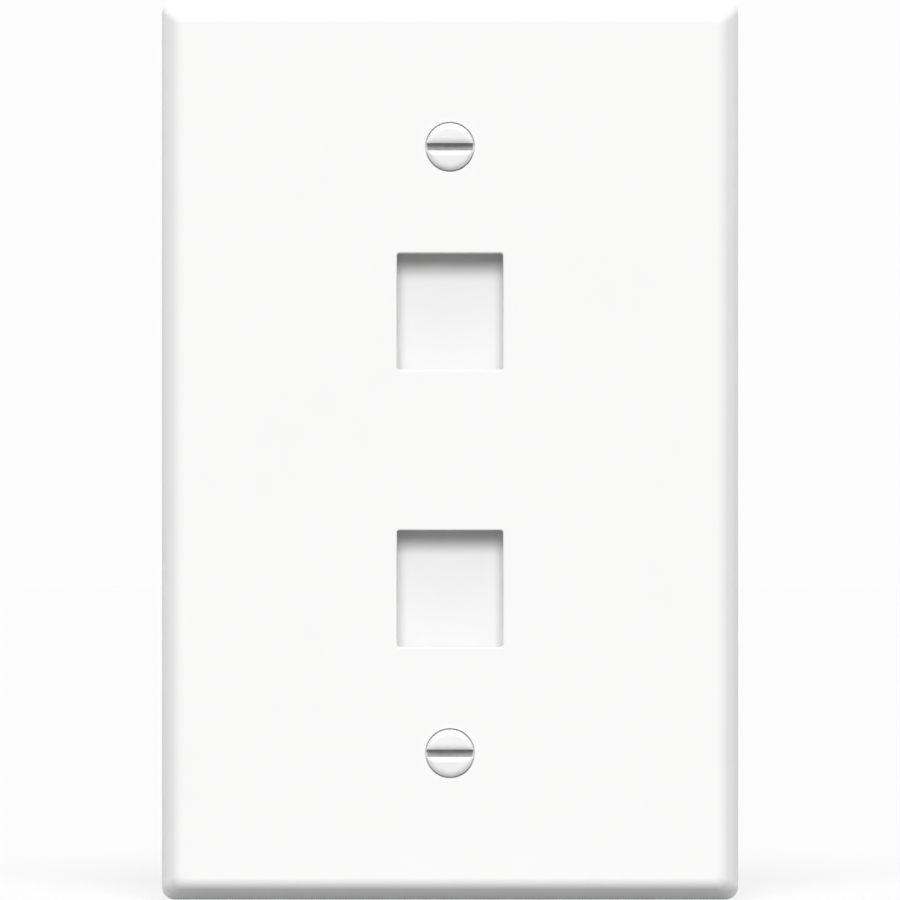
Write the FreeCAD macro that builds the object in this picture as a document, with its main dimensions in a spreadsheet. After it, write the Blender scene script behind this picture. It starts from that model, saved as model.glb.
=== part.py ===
import FreeCAD, Part
import math
import os
import Sketcher

# Two-port keystone faceplate, single gang, mid-size, with the two screws that fix it to its box.
# Millimetres and degrees. +Z points up the wall and the front face looks along -Y.
# The rim stands on the wall plane, Y = 0. The origin lies on it, halfway between the two screws.

SIZES = [
    # the moulded plate
    ("plate_width", 79.5, "width over the rim at the wall"),
    ("plate_height", 124.0, "height over the rim at the wall"),
    ("plate_depth", 6.35, "from the wall to the front face"),
    ("side_draft", 8.0, "lean of the four sides, from the wall to the waist"),
    ("shoulder_depth", 2.4, "from the front face to the waist, where the sides start to lean in more"),
    ("shoulder_draft", 33.0, "lean of the shoulder between the waist and the face"),
    ("waist_radius", 5.0, "rounding of the waist"),
    ("edge_radius", 2.0, "rounding of the face's edges"),
    ("rim_corner", 1.8, "rounding of the four corners at the wall"),
    ("waist_corner", 1.75, "rounding of the four corners at the waist"),
    ("face_corner", 1.4, "rounding of the four corners at the face"),
    ("face_thickness", 2.2, "wall behind the front face"),
    ("rim_thickness", 1.8, "wall of the four sides at the wall plane"),
    ("hollow_draft", 12.5, "lean of the hollow's sides"),
    ("inside_radius", 0.8, "rounding of the hollow's upright corners"),
    # ribs behind the face
    ("rib_thickness", 1.2, "thickness of a rib"),
    ("rib_height", 1.8, "rise of a rib behind the face"),
    # screw holes
    ("screw_spacing", 83.34, "between the two screws, as on a device box"),
    ("hole_diameter", 3.9, "clearance hole"),
    ("sink_recess", 0.2, "straight mouth of the hole, before the countersink"),
    ("sink_diameter", 6.9, "straight mouth and countersink at their widest"),
    ("sink_angle", 82.0, "included angle of the countersink"),
    ("boss_diameter", 8.6, "collar round the hole, behind the face"),
    ("boss_height", 0.9, "rise of the collar behind the face"),
    # keystone ports: depths are measured from the front face
    ("port_width", 14.6, "opening, side to side"),
    ("port_height", 16.05, "opening, bottom to top"),
    ("port_pitch", 38.1, "between the middles of the ports"),
    ("port_corner", 0.35, "rounding of the opening's corners"),
    ("port_edge", 0.2, "rounding of the opening's edge on the face"),
    ("frame_wall", 1.6, "walls of a port frame"),
    ("frame_depth", 10.0, "front face to the back of a port frame"),
    ("lower_ledge", 6.5, "depth of the fixed lug's ledge"),
    ("lower_pocket", 2.0, "drop of the fixed lug's pocket below the opening"),
    ("lower_catch", 1.6, "rise of the fixed lug's catch in its pocket"),
    ("upper_ledge", 4.0, "depth of the spring latch's ledge"),
    ("upper_pocket", 4.0, "rise of the spring latch's pocket above the opening"),
    ("upper_catch", 1.6, "drop of the spring latch's catch in its pocket"),
    ("catch_thickness", 2.0, "thickness of both catches"),
    ("catch_lead", 0.8, "lead-in on the back edge of a catch"),
    # oval-head machine screws
    ("head_diameter", 6.5, "head at its widest"),
    ("head_land", 0.4, "straight rim of the head, between its cone and its crown"),
    ("dome_height", 0.7, "crown of the head above its rim"),
    ("slot_width", 1.0, "driver slot"),
    ("slot_depth", 1.2, "driver slot, below the top of the crown"),
    ("neck_diameter", 3.0, "plain neck under the head"),
    ("neck_length", 1.6, "plain neck, from the cone to the thread"),
    ("thread_diameter", 3.505, "over the thread's crests"),
    ("screw_length", 25.4, "from the wide end of the head's cone to the tip"),
    ("tip_chamfer", 0.6, "chamfer at the tip"),
]

FRONT = 1.0   # along -Y, the way the front face looks
BACK = -1.0   # along +Y, into the wall

HALF_WIDTH = "Sizes.plate_width / 2"
HALF_HEIGHT = "Sizes.plate_height / 2"
PORT_TOP = "Sizes.port_height / 2"
FACE_BACK = "Sizes.plate_depth - Sizes.face_thickness"
CLEAR = 1.0   # how far a cut runs past the surface that it opens


# ---- the sheet, sketches and features ----

def make_sheet(doc):
    """The driving sizes: name, number and meaning on each row."""
    sheet = doc.addObject("Spreadsheet::Sheet", "Sizes")
    for row, (alias, value, meaning) in enumerate(SIZES, start=1):
        sheet.set(f"A{row}", alias)
        sheet.set(f"B{row}", str(value))
        sheet.setAlias(f"B{row}", alias)
        sheet.set(f"C{row}", meaning)
    doc.recompute()
    return sheet


def value_of(formula):
    """The number that a formula on the sheet gives now."""
    return FreeCAD.ActiveDocument.getObject("Sizes").evalExpression(formula)


def origin_feature(body, role):
    """One of the body's own origin planes or axes."""
    return next(item for item in body.Origin.OriginFeatures if item.Role == role)


def new_sketch(body, name, role, height="0"):
    """A sketch on one of the body's own origin planes, raised along that plane's normal."""
    sketch = body.newObject("Sketcher::SketchObject", name)
    sketch.AttachmentSupport = [(origin_feature(body, role), "")]
    sketch.MapMode = "FlatFace"
    sketch.setExpression("AttachmentOffset.Base.z", height)
    return sketch


def tie(sketch, kind, element, point, formula):
    """Hold one point's distance from the sketch's origin to a formula on the sheet."""
    number = sketch.addConstraint(
        Sketcher.Constraint(kind, -1, 1, element, point, value_of(formula)))
    sketch.setExpression(f"Constraints[{number}]", formula)


def add_outline(sketch, corners):
    """A closed outline of straight lines. Each corner is a pair of formulas, across and up."""
    first = sketch.GeometryCount
    points = [FreeCAD.Vector(value_of(across), value_of(up), 0) for across, up in corners]
    count = len(points)
    for index in range(count):
        sketch.addGeometry(Part.LineSegment(points[index], points[(index + 1) % count]))
    for index, (across, up) in enumerate(corners):
        line, following = first + index, first + (index + 1) % count
        sketch.addConstraint(Sketcher.Constraint("Coincident", line, 2, following, 1))
        tie(sketch, "DistanceX", line, 1, across)
        tie(sketch, "DistanceY", line, 1, up)


def add_rectangle(sketch, left, right, bottom, top):
    """A rectangle given by the formulas of its four sides."""
    add_outline(sketch, [(left, bottom), (right, bottom), (right, top), (left, top)])


def add_rounded_rectangle(sketch, half_width, half_height, radius):
    """A round-cornered rectangle about the sketch's origin: four corner arcs, then the sides between."""
    first = sketch.GeometryCount
    wide, tall, turn = value_of(half_width), value_of(half_height), value_of(radius)
    quarters = [(1, 1), (-1, 1), (-1, -1), (1, -1)]
    ends = []
    for quarter, (across, up) in enumerate(quarters):
        middle = FreeCAD.Vector(across * (wide - turn), up * (tall - turn), 0)
        circle = Part.Circle(middle, FreeCAD.Vector(0, 0, 1), turn)
        start, end = quarter * math.pi / 2, (quarter + 1) * math.pi / 2
        sketch.addGeometry(Part.ArcOfCircle(circle, start, end))
        ends.append((circle.value(start), circle.value(end)))
    for quarter in range(4):
        sketch.addGeometry(Part.LineSegment(ends[quarter][1], ends[(quarter + 1) % 4][0]))
    for quarter, (across, up) in enumerate(quarters):
        arc, side, following = first + quarter, first + 4 + quarter, first + (quarter + 1) % 4
        sketch.addConstraint(Sketcher.Constraint("Tangent", arc, 2, side, 1))
        sketch.addConstraint(Sketcher.Constraint("Tangent", side, 2, following, 1))
        tie(sketch, "DistanceX", arc, 3, f"{across} * ({half_width} - {radius})")
        tie(sketch, "DistanceY", arc, 3, f"{up} * ({half_height} - {radius})")
        number = sketch.addConstraint(Sketcher.Constraint("Radius", arc, turn))
        sketch.setExpression(f"Constraints[{number}]", radius)


def add_circle(sketch, across, up, diameter):
    """A circle given by the formulas of its middle and its diameter."""
    middle = FreeCAD.Vector(value_of(across), value_of(up), 0)
    radius = value_of(diameter) / 2
    circle = sketch.addGeometry(Part.Circle(middle, FreeCAD.Vector(0, 0, 1), radius))
    tie(sketch, "DistanceX", circle, 3, across)
    tie(sketch, "DistanceY", circle, 3, up)
    number = sketch.addConstraint(Sketcher.Constraint("Diameter", circle, 2 * radius))
    sketch.setExpression(f"Constraints[{number}]", diameter)


def add_pad(body, name, sketch, length, way=FRONT, taper="0", symmetric=False):
    """Material from a sketch, along its normal or against it."""
    pad = body.newObject("PartDesign::Pad", name)
    pad.Profile = sketch
    pad.setExpression("Length", length)
    pad.setExpression("TaperAngle", taper)
    pad.Reversed = way == BACK
    pad.SideType = "Symmetric" if symmetric else "One side"
    return pad


def add_pocket(body, name, sketch, length, way=BACK, taper="0", symmetric=False):
    """A cut from a sketch, along its normal or against it."""
    pocket = body.newObject("PartDesign::Pocket", name)
    pocket.Profile = sketch
    pocket.setExpression("Length", length)
    pocket.setExpression("TaperAngle", taper)
    pocket.Reversed = way == FRONT
    pocket.SideType = "Symmetric" if symmetric else "One side"
    return pocket


def add_fillet(body, name, radius, wanted):
    """Round every edge of the body's present solid that the test picks."""
    FreeCAD.ActiveDocument.recompute()
    base = body.Tip
    edges = [f"Edge{number}" for number, edge in enumerate(base.Shape.Edges, start=1) if wanted(edge)]
    fillet = body.newObject("PartDesign::Fillet", name)
    fillet.Base = (base, edges)
    fillet.setExpression("Radius", radius)
    return fillet


def near(one, other):
    """Whether two lengths are the same, for picking edges by where they lie."""
    return abs(one - other) < 1e-4


# ---- the moulded plate ----

def make_shell(body):
    """A block whose sides lean in, and lean in more from the waist to the face, with a rounded waist and
    rounded edges. It is hollow at the back, so that it leaves a face and a rim."""
    waist = "Sizes.plate_depth - Sizes.shoulder_depth"
    waist_inset = f"({waist}) * tan(Sizes.side_draft)"
    face_inset = f"{waist_inset} + Sizes.shoulder_depth * tan(Sizes.shoulder_draft)"
    levels = [
        ("RimOutline", "0", "0", "Sizes.rim_corner"),
        ("WaistOutline", waist, waist_inset, "Sizes.waist_corner"),
        ("FaceOutline", "Sizes.plate_depth", face_inset, "Sizes.face_corner"),
    ]
    outlines = []
    for name, height, inset, corner in levels:
        outline = new_sketch(body, name, "XZ_Plane", height)
        add_rounded_rectangle(outline, f"({HALF_WIDTH} - ({inset}))", f"({HALF_HEIGHT} - ({inset}))", corner)
        outlines.append(outline)
    FreeCAD.ActiveDocument.recompute()
    block = body.newObject("PartDesign::AdditiveLoft", "PlateBlock")
    block.Profile = outlines[0]
    block.Sections = outlines[1:]
    block.Ruled = True

    def lies_at(height):
        level = -value_of(height)
        return lambda edge: all(near(vertex.Point.y, level) for vertex in edge.Vertexes)

    add_fillet(body, "Waist", "Sizes.waist_radius", lies_at(waist))
    add_fillet(body, "PlateEdges", "Sizes.edge_radius", lies_at("Sizes.plate_depth"))

    half_width = f"{HALF_WIDTH} - Sizes.rim_thickness"
    half_height = f"{HALF_HEIGHT} - Sizes.rim_thickness"
    hollow = new_sketch(body, "HollowOutline", "XZ_Plane")
    add_rectangle(hollow, f"-({half_width})", half_width, f"-({half_height})", half_height)
    add_pocket(body, "Hollow", hollow, FACE_BACK, FRONT, "-Sizes.hollow_draft")

    width_inside = value_of(half_width)
    height_inside = value_of(half_height)

    def is_inside_corner(edge):
        start = max((vertex.Point for vertex in edge.Vertexes), key=lambda point: point.y)
        upright = edge.BoundBox.YLength > CLEAR
        return upright and near(abs(start.x), width_inside) and near(abs(start.z), height_inside)

    add_fillet(body, "HollowCorners", "Sizes.inside_radius", is_inside_corner)


def make_ribs(body):
    """Two upright ribs and four level ones, in line with the walls of the port frames."""
    half_rib = "Sizes.rib_thickness / 2"
    upright_at = "Sizes.port_width / 2 + Sizes.frame_wall / 2"
    level_above = f"{PORT_TOP} + Sizes.upper_pocket + Sizes.frame_wall / 2"
    level_below = f"-{PORT_TOP} - Sizes.frame_wall / 2"

    upright = new_sketch(body, "UprightRibSketch", "XZ_Plane", FACE_BACK)
    reach = f"{HALF_HEIGHT} - Sizes.rim_thickness"
    for side in ("", "-"):
        middle = f"{side}({upright_at})"
        add_rectangle(upright, f"{middle} - {half_rib}", f"{middle} + {half_rib}",
                      f"-({reach})", reach)
    add_pad(body, "UprightRibs", upright, "Sizes.rib_height", BACK)

    level = new_sketch(body, "LevelRibSketch", "XZ_Plane", FACE_BACK)
    reach = f"{HALF_WIDTH} - Sizes.rim_thickness"
    for port in ("Sizes.port_pitch / 2", "-Sizes.port_pitch / 2"):
        for offset in (level_above, level_below):
            middle = f"{port} + {offset}"
            add_rectangle(level, f"-({reach})", reach,
                          f"{middle} - {half_rib}", f"{middle} + {half_rib}")
    add_pad(body, "LevelRibs", level, "Sizes.rib_height", BACK)


def make_ports(body):
    """One port frame and the space in it, both drawn from the side, then repeated for the other port."""
    face = "-Sizes.plate_depth"
    middle = "Sizes.port_pitch / 2"
    face_back = f"{face} + Sizes.face_thickness"
    frame_back = f"{face} + Sizes.frame_depth"
    catch_front = f"{frame_back} - Sizes.catch_thickness"
    lead_front = f"{frame_back} - Sizes.catch_lead"
    upper_front = f"{face} + Sizes.upper_ledge"
    lower_front = f"{face} + Sizes.lower_ledge"

    opening_top = f"{middle} + {PORT_TOP}"
    opening_bottom = f"{middle} - {PORT_TOP}"
    pocket_top = f"{opening_top} + Sizes.upper_pocket"
    pocket_bottom = f"{opening_bottom} - Sizes.lower_pocket"
    upper_tip = f"{pocket_top} - Sizes.upper_catch"
    lower_tip = f"{pocket_bottom} + Sizes.lower_catch"

    side_view = new_sketch(body, "FrameSketch", "YZ_Plane")
    add_outline(side_view, [
        (face_back, f"{opening_bottom} - Sizes.frame_wall"),
        (f"{lower_front} - Sizes.frame_wall", f"{opening_bottom} - Sizes.frame_wall"),
        (f"{lower_front} - Sizes.frame_wall", f"{pocket_bottom} - Sizes.frame_wall"),
        (frame_back, f"{pocket_bottom} - Sizes.frame_wall"),
        (frame_back, f"{pocket_top} + Sizes.frame_wall"),
        (face_back, f"{pocket_top} + Sizes.frame_wall"),
    ])
    frame = add_pad(body, "PortFrame", side_view, "Sizes.port_width + 2 * Sizes.frame_wall",
                    symmetric=True)

    space = new_sketch(body, "SpaceSketch", "YZ_Plane")
    add_outline(space, [
        (f"{face} - {CLEAR}", opening_bottom),
        (lower_front, opening_bottom),
        (lower_front, pocket_bottom),
        (catch_front, pocket_bottom),
        (catch_front, lower_tip),
        (lead_front, lower_tip),
        (frame_back, f"{lower_tip} - Sizes.catch_lead"),
        (f"{frame_back} + {CLEAR}", f"{lower_tip} - Sizes.catch_lead"),
        (f"{frame_back} + {CLEAR}", f"{upper_tip} + Sizes.catch_lead"),
        (frame_back, f"{upper_tip} + Sizes.catch_lead"),
        (lead_front, upper_tip),
        (catch_front, upper_tip),
        (catch_front, pocket_top),
        (upper_front, pocket_top),
        (upper_front, opening_top),
        (f"{face} - {CLEAR}", opening_top),
    ])
    cut = add_pocket(body, "PortSpace", space, "Sizes.port_width", symmetric=True)

    row = body.newObject("PartDesign::LinearPattern", "Ports")
    row.Originals = [frame, cut]
    row.Direction = (origin_feature(body, "Z_Axis"), [""])
    row.Reversed = True
    row.Mode = "Spacing"
    row.setExpression("Offset", "Sizes.port_pitch")
    row.Occurrences = 2
    body.Tip = row

    half_port = value_of("Sizes.port_width / 2")
    port_reach = value_of(f"{opening_top} + Sizes.port_edge")
    face_y = value_of(face)

    def is_opening_corner(edge):
        low, high = edge.BoundBox.YMin, edge.BoundBox.YMax
        runs_back = near(edge.BoundBox.XLength, 0) and near(edge.BoundBox.ZLength, 0) and high > low
        return runs_back and near(low, face_y) and near(abs(edge.BoundBox.XMin), half_port)

    def is_opening_edge(edge):
        on_face = near(edge.BoundBox.YMin, face_y) and near(edge.BoundBox.YMax, face_y)
        middle = edge.CenterOfMass
        return on_face and abs(middle.x) < half_port + 1e-4 and abs(middle.z) < port_reach

    add_fillet(body, "PortCorners", "Sizes.port_corner", is_opening_corner)
    add_fillet(body, "PortEdges", "Sizes.port_edge", is_opening_edge)


def make_screw_holes(body):
    """A collar behind the face at each screw, and through both a countersunk hole with a straight mouth."""
    heights = ("Sizes.screw_spacing / 2", "-Sizes.screw_spacing / 2")
    collars = new_sketch(body, "CollarSketch", "XZ_Plane", FACE_BACK)
    for height in heights:
        add_circle(collars, "0", height, "Sizes.boss_diameter")
    add_pad(body, "Collars", collars, "Sizes.boss_height", BACK)

    mouths = new_sketch(body, "SinkMouthSketch", "XZ_Plane", "Sizes.plate_depth")
    for height in heights:
        add_circle(mouths, "0", height, "Sizes.sink_diameter")
    add_pocket(body, "SinkMouths", mouths, "Sizes.sink_recess", BACK)

    middles = new_sketch(body, "ScrewHoleSketch", "XZ_Plane", "Sizes.plate_depth - Sizes.sink_recess")
    for height in heights:
        add_circle(middles, "0", height, "Sizes.hole_diameter")
    FreeCAD.ActiveDocument.recompute()
    holes = body.newObject("PartDesign::Hole", "ScrewHoles")
    holes.Profile = middles
    holes.DepthType = "ThroughAll"
    holes.Threaded = False
    holes.HoleCutType = "Countersink"
    holes.HoleCutCustomValues = True
    holes.setExpression("Diameter", "Sizes.hole_diameter")
    holes.setExpression("HoleCutDiameter", "Sizes.sink_diameter")
    holes.setExpression("HoleCutCountersinkAngle", "Sizes.sink_angle")


def make_faceplate(doc):
    """The whole moulding, one solid."""
    body = doc.addObject("PartDesign::Body", "Faceplate")
    body.Label = "faceplate"
    make_shell(body)
    make_ribs(body)
    make_screw_holes(body)
    make_ports(body)
    body.Placement = FreeCAD.Placement()
    return body


# ---- the screws ----

def make_screw(doc, name, height):
    """An oval-head screw turned round its own Y axis, with the wide end of the head's cone at Y = 0."""
    body = doc.addObject("PartDesign::Body", name.title().replace("_", ""))
    body.Label = name
    head_radius = "Sizes.head_diameter / 2"
    neck_radius = "Sizes.neck_diameter / 2"
    thread_radius = "Sizes.thread_diameter / 2"
    neck_start = f"({head_radius} - {neck_radius}) / tan(Sizes.sink_angle / 2)"
    neck_end = f"{neck_start} + Sizes.neck_length"
    run_in = f"{thread_radius} - {neck_radius}"
    head_height = "Sizes.head_land + Sizes.dome_height"

    half = new_sketch(body, "HalfSection", "XY_Plane")
    corners = [
        (head_radius, "-Sizes.head_land"),
        (head_radius, "0"),
        (neck_radius, neck_start),
        (neck_radius, neck_end),
        (thread_radius, f"{neck_end} + {run_in}"),
        (thread_radius, "Sizes.screw_length - Sizes.tip_chamfer"),
        (f"{thread_radius} - Sizes.tip_chamfer", "Sizes.screw_length"),
        ("0", "Sizes.screw_length"),
        ("0", f"-({head_height})"),
    ]
    points = [FreeCAD.Vector(value_of(across), value_of(along), 0) for across, along in corners]
    for start, end in zip(points, points[1:]):
        half.addGeometry(Part.LineSegment(start, end))
    last = len(points) - 1
    rim, top = points[0], points[-1]
    rise = rim.y - top.y
    crown_radius = (rim.x ** 2 + rise ** 2) / (2 * rise)
    centre = FreeCAD.Vector(0, top.y + crown_radius, 0)
    across = rim - centre
    on_crown = FreeCAD.Vector(across).normalize() + FreeCAD.Vector(0, -1, 0)
    halfway = centre + on_crown.normalize() * crown_radius
    half.addGeometry(Part.Arc(top, halfway, rim))
    for line in range(last - 1):
        half.addConstraint(Sketcher.Constraint("Coincident", line, 2, line + 1, 1))
    half.addConstraint(Sketcher.Constraint("Coincident", last - 1, 2, last, 1))
    half.addConstraint(Sketcher.Constraint("Coincident", last, 2, 0, 1))
    half.addConstraint(Sketcher.Constraint("PointOnObject", last, 3, -2))
    for line, (across, along) in enumerate(corners[:-1]):
        tie(half, "DistanceX", line, 1, across)
        tie(half, "DistanceY", line, 1, along)
    tie(half, "DistanceX", last, 1, corners[-1][0])
    tie(half, "DistanceY", last, 1, corners[-1][1])

    turned = body.newObject("PartDesign::Revolution", "Blank")
    turned.Profile = half
    turned.ReferenceAxis = (half, ["V_Axis"])
    turned.Angle = 360

    slot = new_sketch(body, "SlotSketch", "XZ_Plane", head_height)
    half_slot = "Sizes.slot_width / 2"
    add_rectangle(slot, "-Sizes.head_diameter", "Sizes.head_diameter", f"-{half_slot}", half_slot)
    add_pocket(body, "Slot", slot, "Sizes.slot_depth", BACK)

    seat_drop = "(Sizes.sink_diameter - Sizes.head_diameter) / 2 / tan(Sizes.sink_angle / 2)"
    body.setExpression("Placement.Base.y", f"Sizes.sink_recess + {seat_drop} - Sizes.plate_depth")
    body.setExpression("Placement.Base.z", height)
    return body


# ---- check and write ----

def check(doc, bodies):
    """Stop before anything is written if a feature has failed or a solid isn't sound."""
    for item in doc.Objects:
        if {"Invalid", "Error"} & set(item.State):
            raise RuntimeError(f"{item.Name} failed: {item.State}")
    for body in bodies:
        shape = body.Shape
        if shape.isNull() or not shape.isValid() or len(shape.Solids) != 1:
            raise RuntimeError(f"{body.Label} isn't one sound solid")
        print(body.Label, "volume", round(shape.Volume, 3), "mm3")


def main():
    doc = FreeCAD.newDocument("KeystoneFaceplate")
    make_sheet(doc)
    bodies = [
        make_faceplate(doc),
        make_screw(doc, "upper_screw", "Sizes.screw_spacing / 2"),
        make_screw(doc, "lower_screw", "-Sizes.screw_spacing / 2"),
    ]
    doc.recompute()
    check(doc, bodies)
    os.makedirs("parts", exist_ok=True)
    for body in bodies:
        body.Shape.exportStep(f"parts/{body.Label}.step")


main()
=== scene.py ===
import math
import bmesh
import bpy
import numpy as np
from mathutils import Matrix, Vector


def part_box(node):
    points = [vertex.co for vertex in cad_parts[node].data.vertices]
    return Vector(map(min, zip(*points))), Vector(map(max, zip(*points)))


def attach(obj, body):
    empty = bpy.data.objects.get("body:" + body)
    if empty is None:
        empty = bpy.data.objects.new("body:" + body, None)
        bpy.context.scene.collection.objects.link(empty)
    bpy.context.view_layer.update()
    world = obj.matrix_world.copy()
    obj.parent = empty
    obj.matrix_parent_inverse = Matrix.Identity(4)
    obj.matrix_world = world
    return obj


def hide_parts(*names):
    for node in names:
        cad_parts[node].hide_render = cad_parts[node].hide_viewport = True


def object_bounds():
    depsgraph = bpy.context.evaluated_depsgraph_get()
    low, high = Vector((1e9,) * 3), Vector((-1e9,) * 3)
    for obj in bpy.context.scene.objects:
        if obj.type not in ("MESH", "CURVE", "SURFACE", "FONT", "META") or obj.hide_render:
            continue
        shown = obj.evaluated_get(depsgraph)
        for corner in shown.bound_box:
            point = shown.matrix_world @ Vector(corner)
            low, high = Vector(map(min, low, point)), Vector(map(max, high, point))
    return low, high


# The looks of a white two-port keystone faceplate. Metres, in the plate's own frame:
# +Z is up, the front face looks along -Y, and the rim's back lies on the plane Y = 0.

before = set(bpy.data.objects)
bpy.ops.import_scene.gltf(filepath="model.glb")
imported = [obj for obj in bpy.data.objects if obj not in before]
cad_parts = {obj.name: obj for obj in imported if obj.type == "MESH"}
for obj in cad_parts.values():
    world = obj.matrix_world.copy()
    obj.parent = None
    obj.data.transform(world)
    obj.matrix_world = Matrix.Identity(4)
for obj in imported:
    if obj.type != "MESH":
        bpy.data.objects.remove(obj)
cad_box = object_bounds()

MM = 0.001

# plate: its sides, from the wall to the face
PLATE_DEPTH = 6.35 * MM
SIDE_LEAN = math.radians(8)
SHOULDER_DEPTH = 2.4 * MM
SHOULDER_LEAN = math.radians(33)
WAIST_RADIUS = 5.0 * MM
EDGE_RADIUS = 2.0 * MM
CORNER_RADII = np.array([1.8, 1.75, 1.4]) * MM   # in plan, at the wall, the waist and the face

# ports: how far apart their middles are, and each one's opening at its frame's back
PORT_PITCH = 38.1 * MM
PORT_WIDTH = 14.6 * MM
PORT_BOTTOM = -9.225 * MM      # from the port's middle
PORT_TOP = 11.225 * MM

# screws: an oval-head machine screw, 6-32
HEAD_RADIUS = 3.25 * MM
HEAD_LAND = 0.5 * MM           # straight rim between cone and crown
CROWN_HEIGHT = 0.6 * MM
DOME_LEAN = math.radians(3)    # where the crown's dome runs into its shoulder
CROWN_LEAN = math.radians(60)  # where the shoulder meets the rim
CROWN_SHOULDER = 1.0 * MM
SLOT_WIDTH = 1.0 * MM
SLOT_FLOOR = 0.1 * MM          # below the cone's wide end
LIP_RADIUS = 1.25 * MM         # the crown rolls over towards the slot
LIP_ANGLE = math.radians(42)
LIP_SPAN = LIP_RADIUS * math.sin(LIP_ANGLE)   # from the slot's wall to where the roll starts
SLOT_ROUNDING = 0.05 * MM
SINK_HALF_ANGLE = math.radians(41)
NECK_RADIUS = 1.5 * MM
NECK_START = (HEAD_RADIUS - NECK_RADIUS) / math.tan(SINK_HALF_ANGLE)   # behind the wide end
NECK_LENGTH = 1.6 * MM
CREST_RADIUS = 1.7525 * MM
ROOT_RADIUS = 1.32 * MM
THREAD_PITCH = 25.4 / 32 * MM
THREAD_CORNERS = np.array([0.0, 0.25, 0.5625, 0.6875])   # along one pitch, in pitches
THREAD_RISE = np.array([0.0, 0.0, 1.0, 1.0])             # at each: 0 on the root, 1 on the crest
SCREW_LENGTH = 25.4 * MM
TIP_CHAMFER = 0.6 * MM
# the second, a dull grey, is painted shade for the slot and the head's side and underside
PAINTED, SHADE_GREY, PLATED = range(3)   # a screw's materials, in their order

# how finely each curve is cut
CROWN_POINTS = 24
LIP_STEPS = 12
ROUNDING_STEPS = 4             # the slot's rounded edge
WALL_STEPS = 5
FLOOR_STEPS = 3                # from the slot's wall to its middle line
SLOT_POINTS = 61               # along the slot
CONE_POINTS = 6
WAIST_POINTS = 21
EDGE_POINTS = 31
CORNER_POINTS = 17

# meshes
WELD = 1e-7
LEVEL_TOLERANCE = 1e-6
CREASE = math.radians(32)

# materials: the range that noise mostly keeps to
NOISE_LOW, NOISE_HIGH = 0.3, 0.7

# studio
PAGE_WHITE = 0.983
CAMERA_LENS = 500.0
CAMERA_SENSOR = 36.0
CAMERA_REACH = 100.0           # how far it sees
VIEW_HEIGHT = 124.15 * MM      # what the camera takes in from bottom to top, at the rim's plane
AMBIENT = 0.34                 # the world's light on the plate
FLOOR_LOOK = 1.0               # the floor's tone as seen
FLOOR_BOUNCE = 0.35            # and its tone for the light that it sends to the plate
FLOOR_SHADE = 0.4              # how much of the light and shadow on the floor shows
FLOOR_GAP = 0.4 * MM
FLOOR_REACH = 4.0              # from its middle to each side
PAPER_TONE = 0.6


# ---- meshes ----

def weld(mesh):
    """Join corners that lie together, smooth every face and crease the edges that turn sharply."""
    shell = bmesh.new()
    shell.from_mesh(mesh)
    bmesh.ops.remove_doubles(shell, verts=shell.verts, dist=WELD)
    bmesh.ops.dissolve_degenerate(shell, edges=shell.edges, dist=WELD)
    for face in shell.faces:
        face.smooth = True
    for edge in shell.edges:
        edge.smooth = edge.is_manifold and edge.calc_face_angle() < CREASE
    shell.to_mesh(mesh)
    shell.free()


def show(name, mesh, materials, node):
    """Put a finished mesh in place of its solid, at the origin and riding on the plate."""
    piece = bpy.data.objects.new(name, mesh)
    bpy.context.scene.collection.objects.link(piece)
    for material in materials:
        mesh.materials.append(material)
    weighted = piece.modifiers.new("even_normals", "WEIGHTED_NORMAL")
    weighted.mode = "FACE_AREA"
    weighted.keep_sharp = True
    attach(piece, "root")
    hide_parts(node)


def grid_faces(rows, columns):
    """Quads of a grid whose points are numbered row by row."""
    first = np.arange((rows - 1) * columns).reshape(rows - 1, columns)[:, :-1].ravel()
    return np.stack([first, first + 1, first + columns + 1, first + columns], axis=1)


def mesh_of_grids(name, grids):
    """One mesh from grids of points, each with the number of its material. Every grid is an array
    of rows by columns by 3, and grids that share a border are welded along it."""
    points, faces, slots, count = [], [], [], 0
    for grid, material in grids:
        quads = grid_faces(*grid.shape[:2]) + count
        points.append(grid.reshape(-1, 3))
        faces.append(quads)
        slots.append(np.full(len(quads), material))
        count += grid.shape[0] * grid.shape[1]
    points, faces, slots = np.concatenate(points), np.concatenate(faces), np.concatenate(slots)
    mesh = bpy.data.meshes.new(name)
    mesh.vertices.add(len(points))
    mesh.vertices.foreach_set("co", points.astype(np.float32).ravel())
    mesh.loops.add(faces.size)
    mesh.loops.foreach_set("vertex_index", faces.ravel())
    mesh.polygons.add(len(faces))
    mesh.polygons.foreach_set("loop_start", np.arange(len(faces)) * faces.shape[1])
    mesh.polygons.foreach_set("material_index", slots)
    mesh.update(calc_edges=True)
    weld(mesh)
    shell = bmesh.new()
    shell.from_mesh(mesh)
    bmesh.ops.recalc_face_normals(shell, faces=shell.faces)
    shell.to_mesh(mesh)
    shell.free()
    return mesh


# ---- the screws ----

def onward(start, end, steps):
    """Even steps from a start to an end, without the start itself."""
    return np.linspace(start, end, steps + 1)[1:]


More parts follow.
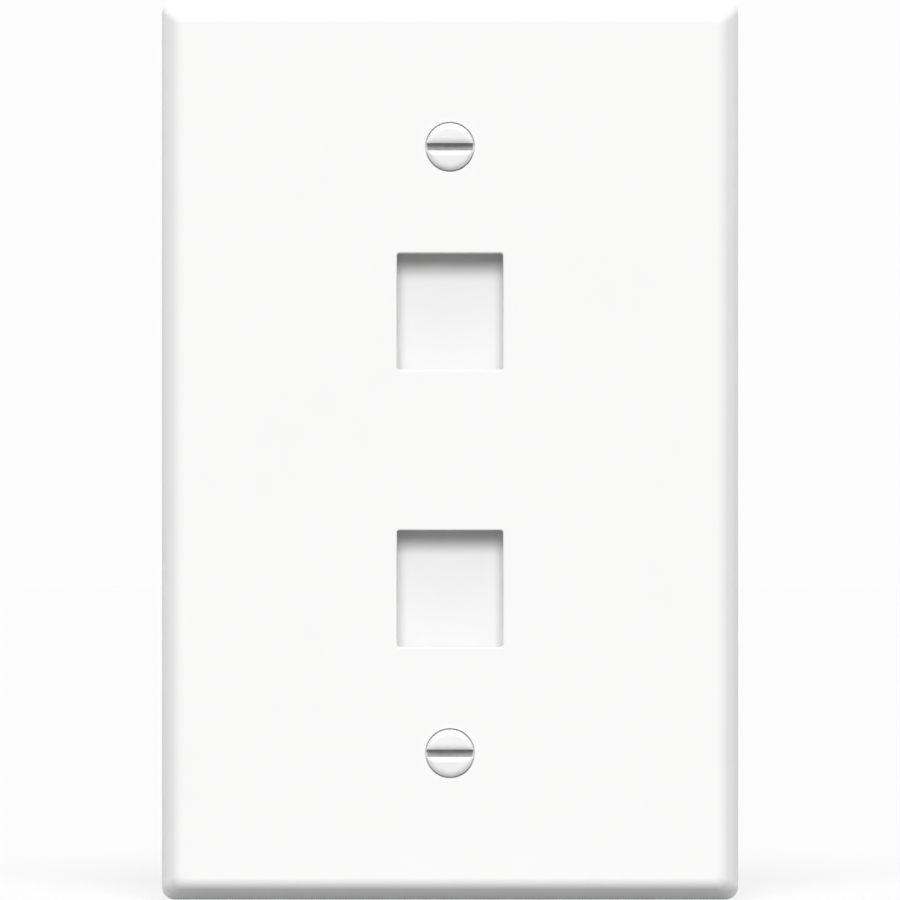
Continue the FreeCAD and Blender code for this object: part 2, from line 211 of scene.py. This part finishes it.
def slot_section():
    """Across the slot from rim to rim: the distance from the slot's middle line, and how far the
    surface has sunk there, from 0 on the crown to 1 on the slot's floor. Even angles round the rim
    give the crown's share and even steps its lip, a quarter circle rounds the lip's edge, and the
    walls and the floor are straight."""
    half = SLOT_WIDTH / 2
    drop = CROWN_HEIGHT + HEAD_LAND + SLOT_FLOOR
    lip_start = half + LIP_SPAN
    rim_angle = np.linspace(math.pi / 2, math.asin(lip_start / HEAD_RADIUS), CROWN_POINTS)
    crown = HEAD_RADIUS * np.sin(rim_angle)
    lip = onward(lip_start, half + SLOT_ROUNDING, LIP_STEPS)
    turn = onward(0, math.pi / 2, ROUNDING_STEPS)
    edge = half + SLOT_ROUNDING * (1 - np.sin(turn))
    edge_sunk = SLOT_ROUNDING * (1 - np.cos(turn)) / drop
    wall_sunk = onward(edge_sunk[-1], 1, WALL_STEPS)
    floor = onward(half, 0, FLOOR_STEPS)
    away = np.concatenate([crown, lip, edge, np.full(WALL_STEPS, half), floor])
    sunk = np.concatenate([np.zeros(CROWN_POINTS + LIP_STEPS), edge_sunk, wall_sunk,
                           np.ones(FLOOR_STEPS)])
    return np.concatenate([-away, away[-2::-1]]), np.concatenate([sunk, sunk[-2::-1]])


def crown_drop(radius):
    """How far the crown has fallen at a radius: along a wide arc as far as the dome's lean, and
    from there along a tight arc to the rim."""
    middle = HEAD_RADIUS - CROWN_SHOULDER * math.sin(CROWN_LEAN)
    join = middle + CROWN_SHOULDER * math.sin(DOME_LEAN)
    dome = join / math.sin(DOME_LEAN)
    past = np.clip(radius, join, HEAD_RADIUS) - middle
    return (dome - np.sqrt(dome ** 2 - np.minimum(radius, join) ** 2)
            + CROWN_SHOULDER * math.cos(DOME_LEAN) - np.sqrt(CROWN_SHOULDER ** 2 - past ** 2))


def crown_rise(radius):
    """Height of the crown over its rim: its full height less its drop, stretched to end at 0."""
    return CROWN_HEIGHT * (1 - crown_drop(radius) / crown_drop(HEAD_RADIUS))


def lip_height(across):
    """What is left of the crown's height near the slot: all of it up to the lip, and there what an
    arc that turns down towards the slot leaves."""
    into = np.clip(LIP_SPAN + SLOT_WIDTH / 2 - np.abs(across), 0, LIP_SPAN)
    return 1 - (LIP_RADIUS - np.sqrt(LIP_RADIUS ** 2 - into ** 2)) / CROWN_HEIGHT


def head_grid(across, sunk):
    """The head's front. One parameter goes across the slot along its section, the other along the
    slot. The height runs from the crown with its lips to the slot's floor by the share sunk, and
    the outline is the head's circle, narrowed down the cone where its rim lies below the cone's
    wide end."""
    rim = (1 - sunk) * HEAD_LAND - sunk * SLOT_FLOOR
    outline = HEAD_RADIUS + np.minimum(rim, 0) * math.tan(SINK_HALF_ANGLE)
    reach = np.sqrt(np.maximum(outline ** 2 - across ** 2, 0))
    along = np.sin(np.linspace(-math.pi / 2, math.pi / 2, SLOT_POINTS))[:, None] * reach
    radius = HEAD_RADIUS * np.minimum(np.hypot(along, across) / outline, 1)
    height = rim + (1 - sunk) * crown_rise(radius) * lip_height(across)
    return np.stack([along, -height, np.broadcast_to(across, along.shape)], axis=2)


def rim_loop(front):
    """The head grid's outer border as one closed loop: angle round the axis, radius and depth."""
    border = np.concatenate([front[-1], front[0, -2:0:-1], front[-1, :1]])
    angle = np.unwrap(np.arctan2(border[:, 2], border[:, 0]))
    return angle, np.hypot(border[:, 0], border[:, 2]), border[:, 1]


def turned_rows(angle, radius, depth):
    """Points at an angle round the Y axis, a radius from it and a depth along it."""
    angle, radius, depth = np.broadcast_arrays(angle, radius, depth)
    return np.stack([radius * np.cos(angle), depth, radius * np.sin(angle)], axis=-1)


def cone_grid(angle, radius, depth):
    """The side and underside of the head: straight back from the rim loop to the cone's wide end,
    and from there straight lines down the cone to the neck."""
    wide_end = np.maximum(depth, 0)
    share = np.linspace(0, 1, CONE_POINTS)[:, None]
    cone = turned_rows(angle, radius + share * (NECK_RADIUS - radius),
                       wide_end + share * (NECK_START - wide_end))
    return np.concatenate([turned_rows(angle, radius, depth)[None], cone])


def shank_grid(angle):
    """Neck, thread and tip. Rows follow the helix: each point's depth is its row's depth plus the
    pitch times its share of a turn, held between the neck's end and the tip. The radius is a
    trapezoid over one pitch, root, flank, crest, flank, that grows out of the neck over the first
    turn and is trimmed by the chamfer at the tip."""
    start = NECK_START + NECK_LENGTH
    turns = math.ceil((SCREW_LENGTH - start) / THREAD_PITCH) + 1
    row = (np.arange(-1, turns)[:, None] + THREAD_CORNERS).ravel()
    rise = np.tile(THREAD_RISE, turns + 1)[:, None]
    share = (angle - angle[0]) / (2 * math.pi)
    depth = np.clip(start + (row[:, None] + share) * THREAD_PITCH, start, SCREW_LENGTH)
    grown = np.clip((depth - start) / THREAD_PITCH, 0, 1)
    thread = ROOT_RADIUS - NECK_RADIUS + rise * (CREST_RADIUS - ROOT_RADIUS)
    radius = np.minimum(NECK_RADIUS + grown * thread,
                        CREST_RADIUS - TIP_CHAMFER + SCREW_LENGTH - depth)
    return np.concatenate([turned_rows(angle, NECK_RADIUS, [[NECK_START], [start]]),
                           turned_rows(angle, radius, depth),
                           turned_rows(angle, 0, [[SCREW_LENGTH]])])


def make_screw(node, materials):
    """A whole screw in place: crown painted white, slot and the head's side and underside a dull
    grey that is painted shade, shank plated.
    """
    low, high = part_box(node)
    across, sunk = slot_section()
    front = head_grid(across, sunk)
    walls = np.flatnonzero(np.isclose(np.abs(across), SLOT_WIDTH / 2))
    first, last = walls[0], walls[-1]
    angle, radius, depth = rim_loop(front)
    # the slot and the head's side and underside take the dull grey of painted shade
    grids = [(front[:, :first + 1], PAINTED),
             (front[:, first:last + 1], SHADE_GREY),
             (front[:, last:], PAINTED),
             (cone_grid(angle, radius, depth), SHADE_GREY),
             (shank_grid(angle), PLATED)]
    seat = np.array([0, high[1] - SCREW_LENGTH, (low[2] + high[2]) / 2])
    mesh = mesh_of_grids(f"{node}_turned", [(grid + seat, material) for grid, material in grids])
    show(f"{node}_turned", mesh, materials, node)


# ---- the moulding ----

def rounding(corner, lean, next_lean, radius, points):
    """An arc that joins two straight leans: it starts a tangent's length before their corner, and
    each point is the start plus the radius times the turn from the first lean, as inset and
    height."""
    turn = np.linspace(lean, next_lean, points)
    back = radius * math.tan((next_lean - lean) / 2)
    start = np.array(corner) - back * np.array([math.sin(lean), math.cos(lean)])
    swing = np.stack([math.cos(lean) - np.cos(turn), np.sin(turn) - math.sin(lean)], axis=1)
    return start + radius * swing


def side_grid(half_width, half_height):
    """The plate's four sides. One parameter goes up the side from the wall to the flat of the face,
    through a lean, the waist's arc, a steeper lean and the edge's arc. The other goes round the
    plate, a rectangle with round corners whose radius is that of its level less what the arcs take
    off there."""
    waist = PLATE_DEPTH - SHOULDER_DEPTH
    inset_at = np.array([0, waist * math.tan(SIDE_LEAN), 0])
    inset_at[2] = inset_at[1] + SHOULDER_DEPTH * math.tan(SHOULDER_LEAN)
    levels = np.array([0, waist, PLATE_DEPTH])
    side = np.concatenate([
        [[0, 0]],
        rounding((inset_at[1], waist), SIDE_LEAN, SHOULDER_LEAN, WAIST_RADIUS, WAIST_POINTS),
        rounding((inset_at[2], PLATE_DEPTH), SHOULDER_LEAN, math.pi / 2, EDGE_RADIUS, EDGE_POINTS)])
    inset, height = side[:, 0, None], side[:, 1, None]
    corner = np.interp(height, levels, CORNER_RADII) - (inset - np.interp(height, levels, inset_at))
    angle = np.linspace(0, math.pi / 2, CORNER_POINTS) + np.arange(4)[:, None] * math.pi / 2
    right = np.repeat([1, -1, -1, 1], CORNER_POINTS)
    upper = np.repeat([1, 1, -1, -1], CORNER_POINTS)
    angle, right, upper = (np.append(values, values.ravel()[0])
                           for values in (angle, right, upper))
    return np.stack([right * (half_width - inset - corner) + corner * np.cos(angle),
                     np.broadcast_to(-height, (len(side), len(angle))),
                     upper * (half_height - inset - corner) + corner * np.sin(angle)], axis=2)


def lies_flat(shape, level):
    """Whether a face or an edge lies in the upright plane at a depth."""
    return all(abs(corner.co.y - level) < LEVEL_TOLERANCE for corner in shape.verts)


def make_moulding(material):
    """The plate. Its back, frames, ports and screw holes are a merged copy of the solid's mesh. Its
    four sides are a grid, and the flat of the face and the rim's back are filled in between their
    edges."""
    half_width, _, half_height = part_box("faceplate")[1]
    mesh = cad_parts["faceplate"].data.copy()
    mesh.materials.clear()
    weld(mesh)
    shell = bmesh.new()
    shell.from_mesh(mesh)
    outward = {-PLATE_DEPTH: (0, -1, 0), 0: (0, 1, 0)}   # which way the plate looks at each flat
    flats = {face for face in shell.faces if any(lies_flat(face, level) for level in outward)}
    found = [max(shell.faces, key=lambda face: face.calc_center_median().x)]
    sides = set(found)
    while found:
        for edge in found.pop().edges:
            fresh = set(edge.link_faces) - flats - sides
            sides |= fresh
            found.extend(fresh)
    bmesh.ops.delete(shell, geom=list(flats | sides), context="FACES")
    shell.from_mesh(mesh_of_grids("plate_sides", [(side_grid(half_width, half_height), 0)]))
    for level, way in outward.items():
        edges = [edge for edge in shell.edges if edge.is_boundary and lies_flat(edge, level)]
        bmesh.ops.triangle_fill(shell, use_beauty=True, edges=edges, normal=way)
    bmesh.ops.recalc_face_normals(shell, faces=shell.faces)
    shell.to_mesh(mesh)
    shell.free()
    weld(mesh)
    show("faceplate_moulding", mesh, [material], "faceplate")


# ---- materials ----

def new_material(name):
    """A material with its node tree and the tree's Principled shader."""
    material = bpy.data.materials.new(name)
    material.use_nodes = True
    tree = material.node_tree
    return material, tree, tree.nodes["Principled BSDF"]


def grain(tree, scale, detail, low, high):
    """Soft noise over Object coordinates, brought between two levels."""
    place = tree.nodes.new("ShaderNodeTexCoord")
    noise = tree.nodes.new("ShaderNodeTexNoise")
    noise.inputs["Scale"].default_value = scale
    noise.inputs["Detail"].default_value = detail
    levels = tree.nodes.new("ShaderNodeMapRange")
    levels.inputs["From Min"].default_value = NOISE_LOW
    levels.inputs["From Max"].default_value = NOISE_HIGH
    levels.inputs["To Min"].default_value = low
    levels.inputs["To Max"].default_value = high
    tree.links.new(place.outputs["Object"], noise.inputs["Vector"])
    tree.links.new(noise.outputs["Fac"], levels.inputs["Value"])
    return levels.outputs["Result"]


def tint(tree, shader, scale, detail, dark, light):
    """Base colour that wanders between two tones."""
    mix = tree.nodes.new("ShaderNodeMix")
    mix.data_type = "RGBA"
    mix.inputs["A"].default_value = (*dark, 1)
    mix.inputs["B"].default_value = (*light, 1)
    tree.links.new(grain(tree, scale, detail, 0, 1), mix.inputs["Factor"])
    tree.links.new(mix.outputs["Result"], shader.inputs["Base Color"])


def vary_gloss(tree, shader, scale, detail, low, high):
    """Roughness that wanders between two levels."""
    tree.links.new(grain(tree, scale, detail, low, high), shader.inputs["Roughness"])


def roughen(tree, shader, scale, detail, distance, strength):
    """A fine relief on the surface."""
    bump = tree.nodes.new("ShaderNodeBump")
    bump.inputs["Distance"].default_value = distance
    bump.inputs["Strength"].default_value = strength
    tree.links.new(grain(tree, scale, detail, 0, 1), bump.inputs["Height"])
    tree.links.new(bump.outputs["Normal"], shader.inputs["Normal"])


def white_abs():
    """Smooth white moulded plastic: the faintest flow mottle, low gloss and a very fine relief."""
    material, tree, shader = new_material("white_abs")
    shader.inputs["IOR"].default_value = 1.54
    tint(tree, shader, scale=60, detail=2, dark=(0.912, 0.912, 0.908), light=(0.922, 0.922, 0.918))
    vary_gloss(tree, shader, scale=400, detail=3, low=0.36, high=0.42)
    roughen(tree, shader, scale=2500, detail=2, distance=2e-6, strength=0.5)
    return material


def white_enamel():
    """Baked white paint over a turned head: glossier than the plastic, a little uneven."""
    material, tree, shader = new_material("white_enamel")
    shader.inputs["Coat Weight"].default_value = 0.25
    shader.inputs["Coat Roughness"].default_value = 0.15
    tint(tree, shader, scale=500, detail=2, dark=(0.852, 0.852, 0.849), light=(0.868, 0.868, 0.865))
    vary_gloss(tree, shader, scale=900, detail=2, low=0.26, high=0.34)
    roughen(tree, shader, scale=1500, detail=2, distance=4e-6, strength=0.5)
    return material


def painted_shade_grey():
    """Painted shade for the slot and the head's side and underside: a dull, cloudy grey that
    darkens these hollows.
    """
    material, tree, shader = new_material("painted_shade_grey")
    tint(tree, shader, scale=1200, detail=3, dark=(0.37, 0.37, 0.375), light=(0.46, 0.46, 0.46))
    vary_gloss(tree, shader, scale=1600, detail=2, low=0.42, high=0.55)
    roughen(tree, shader, scale=2600, detail=2, distance=6e-6, strength=0.6)
    return material


def zinc_plate():
    """Bright zinc on rolled steel, with patches of a slightly duller and bluer film."""
    material, tree, shader = new_material("zinc_plate")
    shader.inputs["Metallic"].default_value = 1.0
    tint(tree, shader, scale=700, detail=3, dark=(0.56, 0.575, 0.6), light=(0.68, 0.68, 0.67))
    vary_gloss(tree, shader, scale=1400, detail=3, low=0.24, high=0.4)
    roughen(tree, shader, scale=4000, detail=2, distance=3e-6, strength=0.4)
    return material


# ---- studio ----

def make_camera():
    """A long lens straight in front, level with the plate's middle."""
    data = bpy.data.cameras.new("camera")
    data.lens = CAMERA_LENS
    data.sensor_width = CAMERA_SENSOR
    data.clip_end = CAMERA_REACH
    camera = bpy.data.objects.new("camera", data)
    camera.location = (0, -VIEW_HEIGHT * CAMERA_LENS / CAMERA_SENSOR, 0)
    camera.rotation_euler = (math.pi / 2, 0, 0)
    bpy.context.scene.collection.objects.link(camera)
    bpy.context.scene.camera = camera


def make_sun(name, azimuth, elevation, irradiance, width, lit):
    """A broad even lamp far away, with its angles in degrees. Azimuth 0 is in front; irradiance 1
    shows a white card as white. lit is the collection of what it lights, or leaves out."""
    data = bpy.data.lights.new(name, "SUN")
    data.energy = irradiance * math.pi
    data.angle = math.radians(width)
    lamp = bpy.data.objects.new(name, data)
    lamp.rotation_euler = (math.radians(90 - elevation), 0, math.radians(azimuth))
    lamp.light_linking.receiver_collection = lit
    bpy.context.scene.collection.objects.link(lamp)


def seen_directly(tree):
    """1 for rays that show the backdrop: from the camera, off a mirror or through glass."""
    path = tree.nodes.new("ShaderNodeLightPath")
    seen = path.outputs["Is Camera Ray"]
    for kind in ("Is Glossy Ray", "Is Transmission Ray"):
        either = tree.nodes.new("ShaderNodeMath")
        either.operation = "MAXIMUM"
        tree.links.new(seen, either.inputs[0])
        tree.links.new(path.outputs[kind], either.inputs[1])
        seen = either.outputs[0]
    return seen


def make_world():
    """White to look at, and a low even light on the plate."""
    world = bpy.data.worlds.new("studio")
    bpy.context.scene.world = world
    world.use_nodes = True
    tree = world.node_tree
    level = tree.nodes.new("ShaderNodeMapRange")
    level.inputs["To Min"].default_value = AMBIENT
    level.inputs["To Max"].default_value = PAGE_WHITE
    tree.links.new(seen_directly(tree), level.inputs["Value"])
    tree.links.new(level.outputs["Result"], tree.nodes["Background"].inputs["Color"])


def stage_material(name):
    """A material with its node tree, empty but for the output."""
    material, tree, shader = new_material(name)
    tree.nodes.remove(shader)
    return material, tree


def even_shader(tree, kind, tone):
    """A diffuse or an emission shader of one grey tone."""
    shader = tree.nodes.new(kind)
    shader.inputs["Color"].default_value = (tone, tone, tone, 1)
    return shader.outputs[0]


def mix_shaders(tree, first, second):
    """A mix of two shaders: the first where its share is 0 and the second where it is 1."""
    mix = tree.nodes.new("ShaderNodeMixShader")
    tree.links.new(first, mix.inputs[1])
    tree.links.new(second, mix.inputs[2])
    return mix


def split_surface(tree, share, first, second):
    """The material's surface, as a mix of two shaders whose share another node gives."""
    mix = mix_shaders(tree, first, second)
    tree.links.new(share, mix.inputs[0])
    tree.links.new(mix.outputs[0], tree.nodes["Material Output"].inputs["Surface"])


def stage_planes(name, corners, material):
    """Flat pieces of the studio as one mesh, four corners each."""
    mesh = bpy.data.meshes.new(name)
    mesh.from_pydata(corners, [], np.arange(len(corners)).reshape(-1, 4).tolist())
    mesh.materials.append(material)
    plane = bpy.data.objects.new(name, mesh)
    bpy.context.scene.collection.objects.link(plane)
    return plane


def make_floor(height):
    """A pale floor, page white in the light and a little darker where the plate's shadow lies."""
    material, tree = stage_material("pale_floor")
    page = even_shader(tree, "ShaderNodeEmission", PAGE_WHITE)
    lit = even_shader(tree, "ShaderNodeBsdfDiffuse", FLOOR_LOOK)
    look = mix_shaders(tree, page, lit)
    look.inputs[0].default_value = FLOOR_SHADE
    bounce = even_shader(tree, "ShaderNodeBsdfDiffuse", FLOOR_BOUNCE)
    split_surface(tree, seen_directly(tree), bounce, look.outputs[0])
    corners = [(-FLOOR_REACH, -FLOOR_REACH, height), (FLOOR_REACH, -FLOOR_REACH, height),
               (FLOOR_REACH, FLOOR_REACH, height), (-FLOOR_REACH, FLOOR_REACH, height)]
    return stage_planes("floor", corners, material)


def make_backing(back):
    """Paper across the back of each port, there only for what looks at it from the front."""
    material, tree = stage_material("backing_paper")
    paper = even_shader(tree, "ShaderNodeBsdfDiffuse", PAPER_TONE)
    nothing = tree.nodes.new("ShaderNodeBsdfTransparent").outputs[0]
    from_behind = tree.nodes.new("ShaderNodeNewGeometry").outputs["Backfacing"]
    split_surface(tree, from_behind, paper, nothing)
    reach = PORT_WIDTH / 2
    corners = []
    for middle in (PORT_PITCH / 2, -PORT_PITCH / 2):
        bottom, top = middle + PORT_BOTTOM, middle + PORT_TOP
        corners += [(-reach, back, bottom), (reach, back, bottom),
                    (reach, back, top), (-reach, back, top)]
    return stage_planes("backing_paper", corners, material)


def linked(name, pieces, state):
    """A collection that tells a lamp to light these pieces alone, or all but these."""
    group = bpy.data.collections.new(name)
    for piece in pieces:
        group.objects.link(piece)
    for member in group.collection_objects:
        member.light_linking.link_state = state
    return group


def make_studio():
    """Camera, lamps, world, floor and the paper behind the ports."""
    bpy.context.scene.view_settings.view_transform = "Standard"
    make_camera()
    make_world()
    floor = make_floor(cad_box[0][2] - FLOOR_GAP)
    paper = make_backing(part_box("faceplate")[1][1])
    all_but_paper = linked("all_but_paper", [paper], "EXCLUDE")
    product_alone = linked("product_alone", [paper, floor], "EXCLUDE")
    paper_alone = linked("paper_alone", [paper], "INCLUDE")
    make_sun("key", azimuth=0, elevation=38, irradiance=0.85, width=30, lit=all_but_paper)
    make_sun("fill_left", azimuth=-125, elevation=15, irradiance=0.19, width=60, lit=all_but_paper)
    make_sun("fill_right", azimuth=125, elevation=15, irradiance=0.17, width=60, lit=all_but_paper)
    make_sun("back_light", azimuth=180, elevation=35, irradiance=0.42, width=30, lit=product_alone)
    make_sun("port_light", azimuth=0, elevation=13, irradiance=1.04, width=16, lit=paper_alone)


make_moulding(white_abs())
# the middle finish is the dull grey of painted shade for the slot and under the head
screw_finish = [white_enamel(), painted_shade_grey(), zinc_plate()]
for screw in ("upper_screw", "lower_screw"):
    make_screw(screw, screw_finish)
make_studio()
